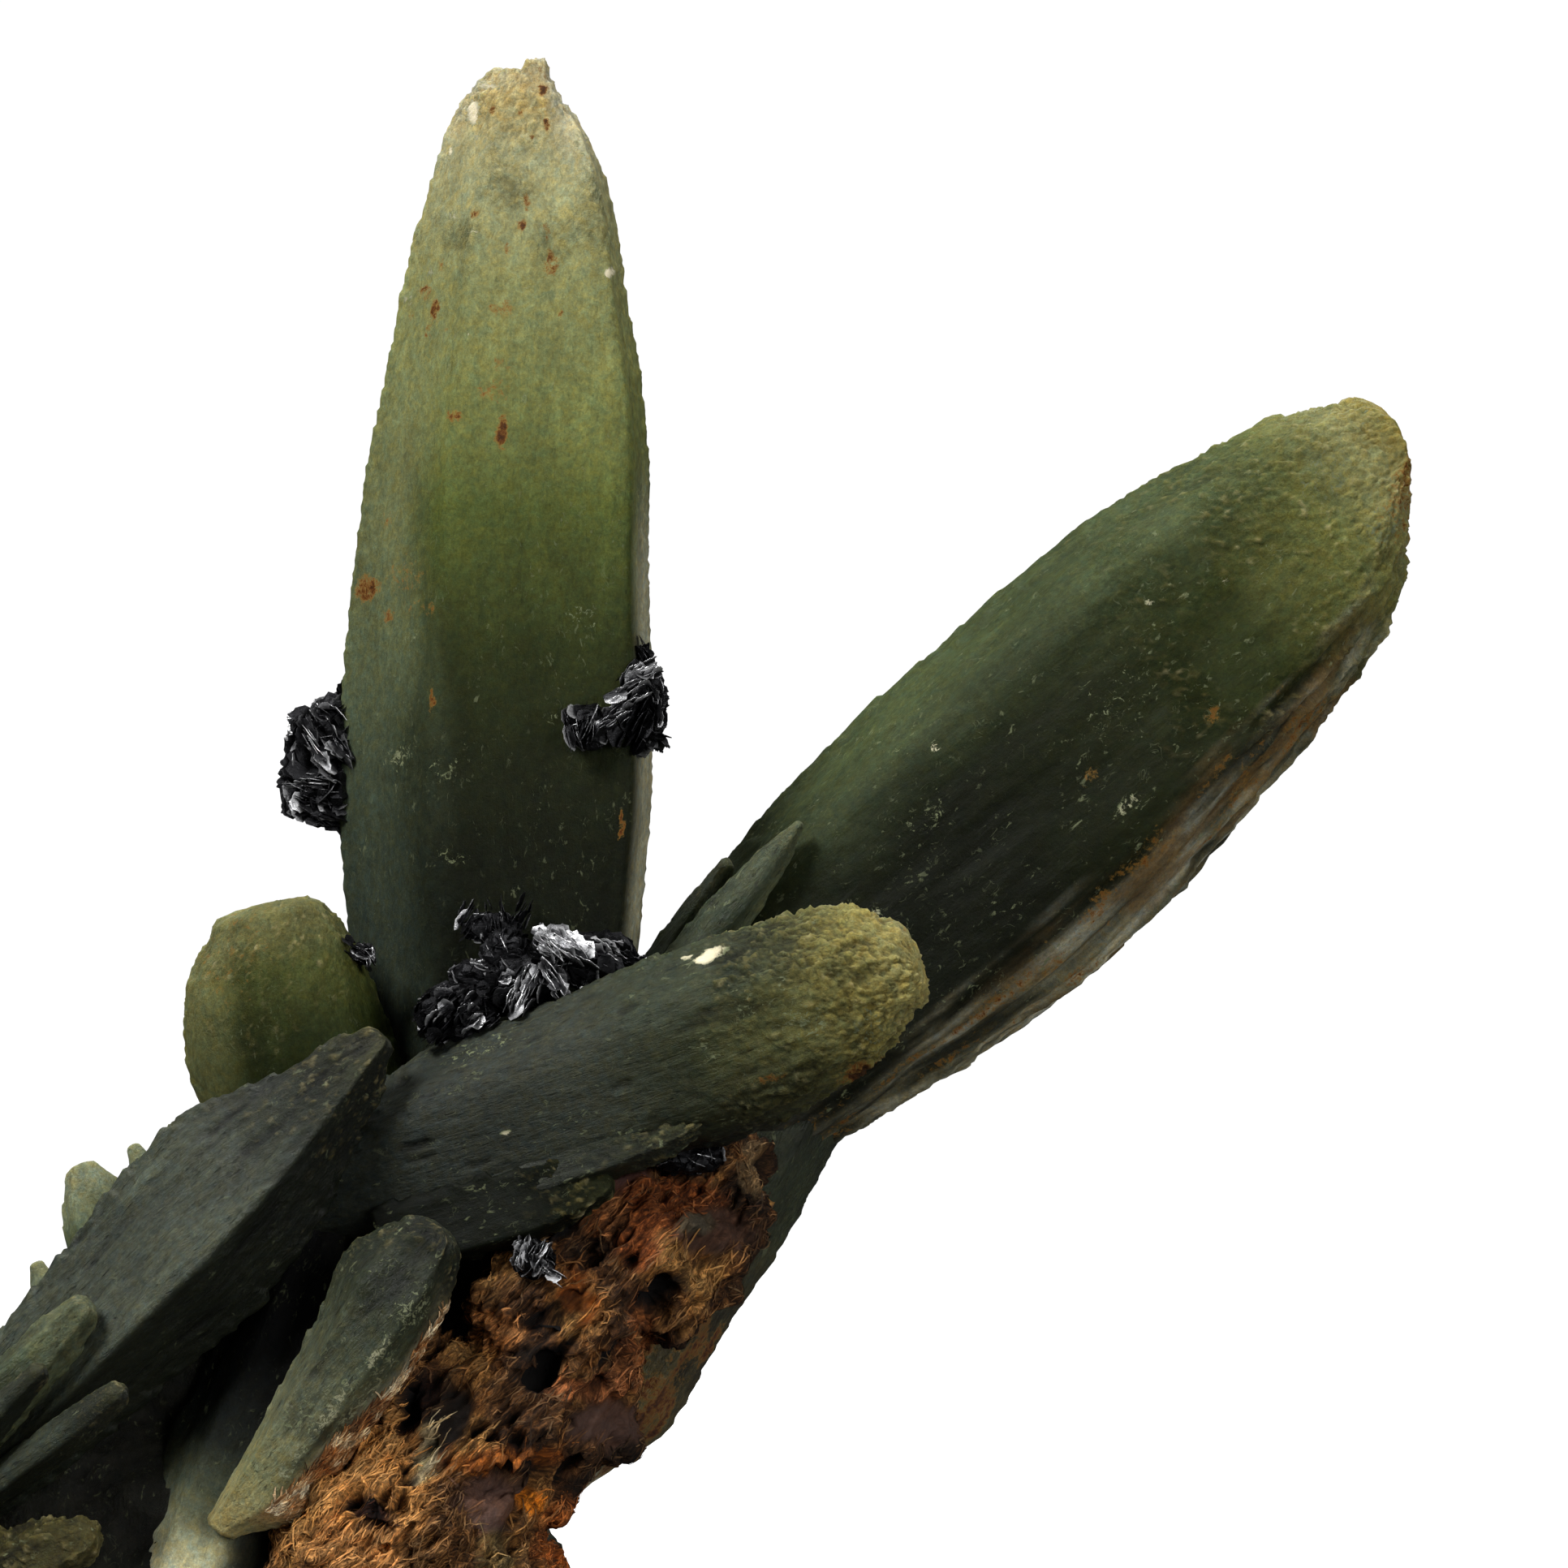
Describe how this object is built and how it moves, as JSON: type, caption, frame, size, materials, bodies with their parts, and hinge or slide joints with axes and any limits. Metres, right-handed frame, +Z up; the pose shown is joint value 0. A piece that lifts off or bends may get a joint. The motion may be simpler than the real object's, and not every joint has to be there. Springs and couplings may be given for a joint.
{
  "type": "mineral specimen, prase quartz with hematite roses",
  "caption": "Cluster of green sword-shaped quartz crystals on a flat cut foot, with black hematite roses and a rusty iron oxide mass.",
  "frame": {"origin": "on the flat cut that the cluster rests on, under the foot of the tall crystal", "axes": "+Z up along the tall crystal, +X towards the crystal that leans right, -Y towards the side that shows best"},
  "size_m": [0.1066, 0.0448, 0.1008],
  "materials": {
    "prase": "waxy, translucent, leek green, paler and yellower at the tips",
    "hematite": "bright metallic black plates",
    "iron_oxide": "dull, fibrous and spongy, orange to dark brown"
  },
  "bodies": {
    "root": {"prase_cluster": "prase", "hematite_rose_left": "hematite", "hematite_rose_right": "hematite", "hematite_rose_front": "hematite", "hematite_tuft": "hematite", "hematite_flake": "hematite", "hematite_rose_low": "hematite", "hematite_plate": "hematite", "iron_oxide": "iron_oxide"}
  },
  "joints": []
}
